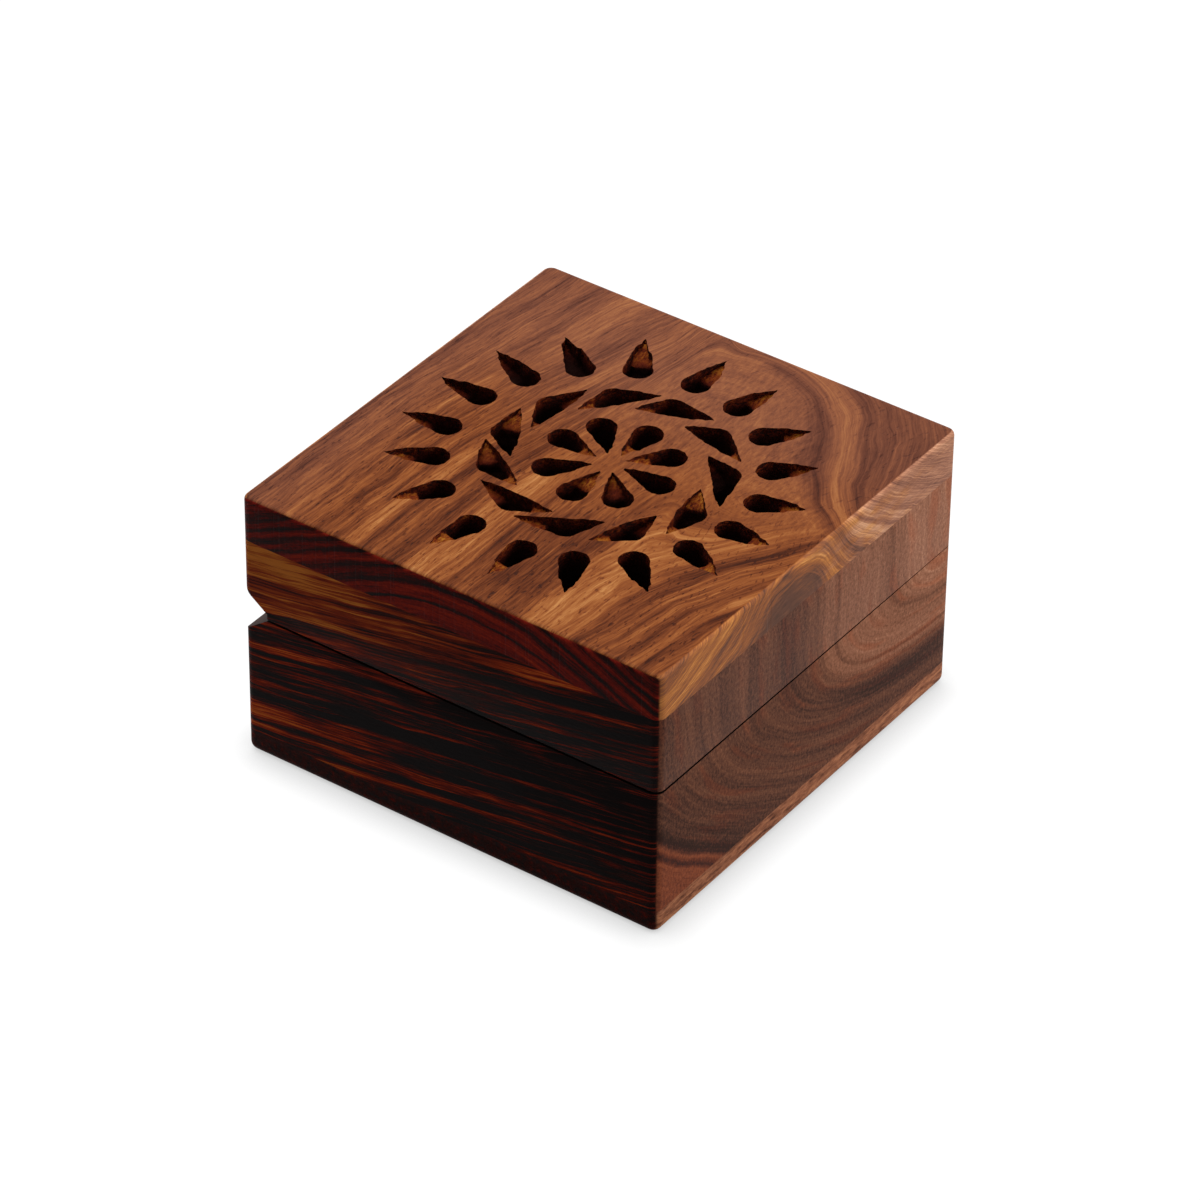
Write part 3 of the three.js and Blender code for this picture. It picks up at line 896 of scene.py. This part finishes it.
pink_edge = ramp(edge_tone, [
    (0, shade(74, 51, 45, FRONT_LIGHT)), (0.2, shade(100, 67, 56, FRONT_LIGHT)),
    (0.45, shade(134, 90, 71, FRONT_LIGHT)), (0.7, shade(162, 113, 87, FRONT_LIGHT)),
    (1, shade(194, 148, 118, FRONT_LIGHT)),
], colours=True)
pink_share = fade(x + noise(x / 7, z / 3, y * 0) * 45, -4, 40)
front_colour = mix_colour(amber_edge, pink_edge, pink_share)
left_colour = ramp(left_end_tone(y, z), [
    (0, shade(4, 2, 2, LEFT_LIGHT)), (0.25, shade(26, 5, 4, LEFT_LIGHT)),
    (0.5, shade(68, 12, 8, LEFT_LIGHT)), (0.8, shade(98, 24, 11, LEFT_LIGHT)),
    (1, shade(122, 46, 18, LEFT_LIGHT)),
], colours=True)
to_front = fade(abs(along), 0.25, 0.45)
to_left = fade(abs(across), 0.6, 0.8)
colour = mix_colour(mix_colour(top_colour, front_colour, to_front), left_colour, to_left)
finish_wood(panel_wood, shader, colour, 0.42, 0.03)
bump(tree, shader, noise(x / 3, y * 3, z * 3, 3) * 0.5 - pores, 0.04 * MM)

# %% [markdown]
# ## Chiselled faces inside the cuts
# Nobody sands or varnishes inside the cuts. They stay raw and fibrous, golden to red-brown. Light and
# shade are also painted on: slopes that face up are painted lighter, and the colour is painted darker
# with depth, down to black.

# %% Raw wood, with painted light and shade
raw_wood, tree, shader = fresh_material("chiselled wood")
(x, y, z), (across, along, upward) = object_place(tree)
fibres = noise(x / 1.6, y * 1.8, z * 1.8, 5, 0.75)
patches = noise(x / 3, y / 3, x * 0, 2)
# Painted light: slopes that face upwards are painted lighter.
painted_slope_light = fade(upward + fibres * 0.3, 0.3, 0.75)
# Painted shade: the colour is painted darker with depth below the top of the panel.
painted_light_near_rim = 1 - fade(BOX_TOP - z + fibres * 1.5 + patches * 2, 0.8, 4.4)
raw_tone_and_painted_light = painted_light_near_rim * (0.19 + painted_slope_light * 0.41 + fibres * 1.5 + patches * 0.6)
raw_colour_and_painted_light = ramp(raw_tone_and_painted_light, [
    (0, shade(34, 11, 7)), (0.15, shade(58, 17, 9)), (0.35, shade(98, 32, 13)),
    (0.55, shade(132, 60, 18)), (0.8, shade(164, 96, 28)), (1, shade(192, 128, 48)),
], colours=True)
finish_wood(raw_wood, shader, raw_colour_and_painted_light, 0.6, 0.05)
bump(tree, shader, fibres, 0.25 * MM)

# %% [markdown]
# ## Wood of the block
# The block is darker and its grain runs from front to back. On the front the sawn end shows wide
# arcs about a centre near the upper right corner, and on the sides the rings show as long stripes
# that rise a little towards the front.

# %% Ring fields of the block
def block_end_tone(x, z):
    below = soft_step_up(35 - z, 4) * 2.9
    lift = (z - 34) / 10
    aside = 54 - x + lift * 5.25 - lift * lift * 2.16
    rings = root(below * below + aside * aside) + below * aside * 0.0058
    rings = rings + noise(x / 16, z / 20, x * 0, 2) * 2.6
    bands = ramp(rings, [
        (8, 0.72), (22, 0.68), (27, 0.56), (28.5, 0.4), (30, 0.58), (42, 0.62), (46, 0.6),
        (47.5, 0.4), (49, 0.58), (51, 0.6), (53, 0.42), (56, 0.42), (60, 0.27), (66, 0.22),
        (73, 0.37), (76, 0.25), (81, 0.38), (85, 0.26), (92, 0.4), (96, 0.26), (99, 0.38),
        (105, 0.24), (110, 0.3), (114, 0.2), (117, 0.26), (119, 0.1), (121, 0.0), (123, 0.12),
        (124.5, 0.5), (127.5, 0.1), (129.5, 0.5), (145, 0.42)])
    fine = noise(rings * 0.7, x / 30, z / 30, 6, 0.7)
    speckle = noise(x * 1.6, x * 0, z * 1.1, 5, 0.8)
    # Darker along the rings near 62, towards the right of the front.
    right_ring_darkening = fade(x, 2, 36) * (1 - fade(abs(rings - 62), 3, 11)) * 0.17
    base_shade = fade(rings, 66, 76) * fade(-z, -33, -28) * 0.035
    return bands + fine * 0.42 + speckle * 0.85 - right_ring_darkening - base_shade, rings


def block_side_tone(y, z):
    wobble = noise(y / 34, z / 8, y * 0, 2) * 1.4 + noise(y / 12, z / 2, y * 0, 1) * 0.25
    rings = z + y * (z * 0.0012 + 0.125) + wobble
    bands = ramp(rings, [
        (2, 0.3), (7, 0.24), (8.6, 0.3), (10, 0.5), (11.2, 0.22), (12.6, 0.26), (13.8, 0.58),
        (15, 0.2), (16.8, 0.26), (18.4, 0.08), (19.6, 0.2), (21, 0.06), (25, 0.05), (26, 0.1),
        (27.3, 0.36), (28.5, 0.14), (30, 0.36), (31.2, 0.16), (32.2, 0.3), (33.4, 0.14),
        (34.6, 0.66), (35.6, 0.36), (37, 0.14), (41, 0.32), (42.3, 0.14), (43.6, 0.22),
        (45, 0.84), (46.4, 0.64), (49.8, 0.6), (51, 0.15), (52, 0.52), (56, 0.62)])
    rear = fade(y, -8, 42)
    glow = fade(rings, 14.8, 16.2) * (1 - fade(rings, 18.4, 20)) * 0.5
    warm = rear * (fade(z, 36, 42) * 0.32 + fade(-rings, -15, -8) * 0.16 + glow + 0.12)
    streaks = noise(rings * 0.9, y / 55, z / 60, 5, 0.76)
    fibres = noise(rings * 2.6, y / 12, z / 30, 3, 0.7)
    patches = noise(y / 14, z / 4, y * 0, 2)
    return bands * 0.85 + streaks * 2 + fibres * 0.65 + patches * 0.4 + warm - 0.11


def foot_colour(x, y, z, across):
    """Colour of the base panel: long grain on the front, blotchy where it is sawn across."""
    level_streaks = noise(x / 16, y * 0.8, z * 1.1, 4, 0.6)
    specks = fade(noise(x / 5, y / 5, z / 1.6, 2), 0.1, 0.3) * 0.3
    long_tone = 0.52 + level_streaks * 1.1 + noise(x / 2.5, y / 3, z / 0.8, 5, 0.75) * 1.1 - specks
    # Partly painted reflection: the front's colours keep the varnish's pale haze.
    long_colour = ramp(long_tone, [
        (0, shade(74, 44, 33, FRONT_LIGHT)), (0.3, shade(108, 66, 47, FRONT_LIGHT)),
        (0.6, shade(140, 89, 64, FRONT_LIGHT)), (1, shade(172, 116, 80, FRONT_LIGHT)),
    ], colours=True)
    end_colour = ramp(0.27 + noise(y / 1.6, z / 1.2, x * 0, 4, 0.7) * 1.3, [
        (0, shade(7, 4, 4, LEFT_LIGHT)), (0.4, shade(32, 9, 7, LEFT_LIGHT)),
        (0.7, shade(66, 15, 9, LEFT_LIGHT)), (1, shade(92, 28, 12, LEFT_LIGHT)),
    ], colours=True)
    return mix_colour(long_colour, end_colour, fade(abs(across), 0.45, 0.75))


# %% Colours of the block
block_wood, tree, shader = fresh_material("block wood")
(x, y, z), (across, along, upward) = object_place(tree)
end_tone, rings = block_end_tone(x, z)
# Partly painted reflection: the front's colours keep the varnish's pale haze.
end_colour = ramp(end_tone, [
    (0, shade(42, 28, 23, FRONT_LIGHT)), (0.2, shade(70, 44, 35, FRONT_LIGHT)),
    (0.5, shade(107, 68, 50, FRONT_LIGHT)), (0.75, shade(138, 92, 70, FRONT_LIGHT)),
    (1, shade(166, 120, 94, FRONT_LIGHT)),
], colours=True)
red_colour = ramp(end_tone, [
    (0, shade(52, 30, 26, FRONT_LIGHT)), (0.3, shade(92, 46, 32, FRONT_LIGHT)),
    (0.6, shade(128, 66, 42, FRONT_LIGHT)), (1, shade(156, 88, 56, FRONT_LIGHT)),
], colours=True)
red_share = fade(noise(rings * 0.25, x / 20, z / 14), 0, 0.3) * 0.45
red_share = red_share.math("MAXIMUM", fade(rings, 119, 126) * 0.85)
end_colour = mix_colour(end_colour, red_colour, red_share)
side_tone = block_side_tone(y, z)
side_colour = ramp(side_tone, [
    (0, shade(5, 3, 3, LEFT_LIGHT)), (0.2, shade(18, 7, 6, LEFT_LIGHT)),
    (0.45, shade(64, 15, 9, LEFT_LIGHT)), (0.7, shade(110, 34, 14, LEFT_LIGHT)),
    (1, shade(146, 66, 25, LEFT_LIGHT)),
], colours=True)
golden_colour = ramp(side_tone, [
    (0, shade(8, 4, 3, LEFT_LIGHT)), (0.3, shade(40, 11, 8, LEFT_LIGHT)),
    (0.6, shade(86, 27, 12, LEFT_LIGHT)), (0.85, shade(108, 47, 17, LEFT_LIGHT)),
    (1.1, shade(134, 76, 29, LEFT_LIGHT)),
], colours=True)
side_colour = mix_colour(side_colour, golden_colour, fade(z, 34, 40) * (1 - fade(-y, -10, 34)))
inner_colour = ramp(end_tone, [
    (0, shade(36, 17, 12)), (0.5, shade(66, 32, 20)), (1, shade(98, 52, 32)),
], colours=True)
to_side = fade(abs(across), 0.6, 0.8)
colour = mix_colour(mix_colour(inner_colour, end_colour, fade(-along, 0.6, 0.8)), side_colour, to_side)
# The stain of the base panel has crept a little up the block
colour = mix_colour(foot_colour(x, y, z, across), colour, fade(z, 5.3, 5.6))
# Painted shadow: a black line is painted on the rims along the outer edges of the saw cut, where the
# narrow gap lies in shade. It narrows with the gap to the right, and on the front it fades out towards
# the right.
half_gap = 0.145 - x * 0.0017
painted_seam_shadow = 1 - fade(abs(z - SEAM) - half_gap, 0.02, 0.09)
outer = fade(abs(x), 49.2, 49.8).math("MAXIMUM", fade(-y, 48.2, 48.8) * (1 - fade(x, 26, 42)))
colour = mix_colour(colour, ramp(painted_seam_shadow, [(0, 0.002), (1, 0.002)]), painted_seam_shadow * outer * 0.92)
finish_wood(block_wood, shader, colour, 0.45, 0.02)
bump(tree, shader, noise(x * 2, y / 3, z * 2, 3), 0.03 * MM)
for half in (base_block, lid_block):
    half.data.materials.append(block_wood)

# %% [markdown]
# ## Wood of the base panel
# A plain brown slab. Its long grain shows on the front as thin level streaks, and its left end is
# sawn across the pores and looks blotchy and almost black.

# %% Colours of the base panel
foot_wood, tree, shader = fresh_material("base panel wood")
(x, y, z), (across, along, upward) = object_place(tree)
finish_wood(foot_wood, shader, foot_colour(x, y, z, across), 0.5, 0.02)
bump(tree, shader, noise(x / 3, y * 2, z * 2, 3), 0.04 * MM)
foot_panel.data.materials.append(foot_wood)

# %% [markdown]
# ## Metal of the hinges
# Cheap rolled brass, dulled by air and hands, and a plain wire pin.

# %% Brass and steel
def dulled_metal(name, bright, dull, rough, rougher):
    metal, tree, shader = fresh_material(name)
    (x, y, z), normals = object_place(tree)
    tarnish = noise(x / 2.5, y / 2.5, z / 2.5, 4, 0.6) + 0.5
    brushed = noise(x * 0.4, y * 8, z * 8, 2)
    colour = ramp(tarnish + brushed * 0.2, [(0.2, bright), (0.8, dull)], colours=True)
    tree.links.new(colour.socket, shader.inputs["Base Color"])
    tree.links.new((tarnish * (rougher - rough) + rough).socket, shader.inputs["Roughness"])
    shader.inputs["Metallic"].default_value = 1
    bump(tree, shader, brushed, 0.01 * MM)
    return metal


METALS = {
    "_leaf": dulled_metal("hinge brass", (0.62, 0.43, 0.17), (0.36, 0.24, 0.1), 0.28, 0.5),
    "_screw": dulled_metal("screw brass", (0.66, 0.48, 0.2), (0.42, 0.29, 0.12), 0.22, 0.4),
    "_pin": dulled_metal("pin steel", (0.6, 0.58, 0.54), (0.36, 0.34, 0.31), 0.25, 0.45),
}
for word, metal in METALS.items():
    count = 0
    for piece in bpy.data.objects:
        if piece.type == "MESH" and piece.name.startswith(("left_", "right_")) and word in piece.name:
            piece.data.materials.append(metal)
            count += 1
    print(metal.name, "pieces:", count)

# %% [markdown]
# ## Floor and light
# The box stands on a white sweep. The floor is white for the camera and in reflections. It keeps
# the soft shadow of the box from the lamps, and close to the box a contact shadow is painted into
# its glow. A big soft box hangs over the box, a little behind it, and a weaker one stands to the
# front right, so the top is bright, the front is in half light, and the left side is dark.

# %% Floor
def seen_directly(tree):
    """One for rays from the camera, mirror reflections and transmission, and nought for others."""
    rays = tree.nodes.new("ShaderNodeLightPath")
    names = ("Is Camera Ray", "Is Glossy Ray", "Is Transmission Ray")
    camera_ray, glossy_ray, transmission_ray = (Wire(tree, rays.outputs[name]) for name in names)
    return (camera_ray + glossy_ray + transmission_ray).math("MINIMUM", 1)


FLOOR_DROP, CONTACT_REACH = 0.02, 7.5
deselect()
bpy.ops.mesh.primitive_plane_add(size=8, location=(0, 0, -FLOOR_DROP * MM))
floor = settle(bpy.context.object)
floor.name = "floor"
sweep = bpy.data.materials.new("white sweep")
sweep.use_nodes = True
tree = sweep.node_tree
tree.nodes.clear()
seen = seen_directly(tree)
dim = tree.nodes.new("ShaderNodeBsdfDiffuse")
dim.inputs["Color"].default_value = (0.2, 0.2, 0.2, 1)
pale = tree.nodes.new("ShaderNodeBsdfDiffuse")
pale.inputs["Color"].default_value = (0.1, 0.1, 0.1, 1)
# Painted shadow: near the box the glow is dimmed by ambient occlusion, a contact shadow painted into the
# floor.
painted_contact_shadow = tree.nodes.new("ShaderNodeAmbientOcclusion")
painted_contact_shadow.samples = 8
painted_contact_shadow.inputs["Distance"].default_value = CONTACT_REACH * MM
glow = tree.nodes.new("ShaderNodeEmission")
tree.links.new((Wire(tree, painted_contact_shadow.outputs["AO"]) * 0.52 + 0.46).socket, glow.inputs["Strength"])
both = tree.nodes.new("ShaderNodeAddShader")
tree.links.new(pale.outputs[0], both.inputs[0])
tree.links.new(glow.outputs[0], both.inputs[1])
switch = tree.nodes.new("ShaderNodeMixShader")
tree.links.new(seen.socket, switch.inputs[0])
tree.links.new(dim.outputs[0], switch.inputs[1])
tree.links.new(both.outputs[0], switch.inputs[2])
finish = tree.nodes.new("ShaderNodeOutputMaterial")
tree.links.new(switch.outputs[0], finish.inputs["Surface"])
floor.data.materials.append(sweep)
print("floor nodes:", len(tree.nodes))

# %% World
world = bpy.data.worlds.new("studio")
world.use_nodes = True
tree = world.node_tree
tree.nodes.clear()
seen = seen_directly(tree)
sky = tree.nodes.new("ShaderNodeBackground")
tree.links.new((seen * 0.88 + 0.12).socket, sky.inputs["Strength"])
output = tree.nodes.new("ShaderNodeOutputWorld")
tree.links.new(sky.outputs[0], output.inputs["Surface"])
bpy.context.scene.world = world
print("world nodes:", len(tree.nodes))


# %% Soft boxes
def soft_box(name, place, aim, size, power):
    lamp = bpy.data.lights.new(name, "AREA")
    lamp.shape = "SQUARE"
    lamp.size = size
    lamp.energy = power
    holder = bpy.data.objects.new(name, lamp)
    bpy.context.scene.collection.objects.link(holder)
    holder.location = place
    holder.rotation_euler = (Vector(aim) - Vector(place)).to_track_quat("-Z", "Y").to_euler()
    print(name, "soft box of", power, "W")


soft_box("overhead", (0.25, 0.35, 1.2), (0, 0, 0.05), 1.0, 15)
soft_box("front_right", (0.55, -1.3, 0.5), (0, 0, 0.03), 0.8, 13)
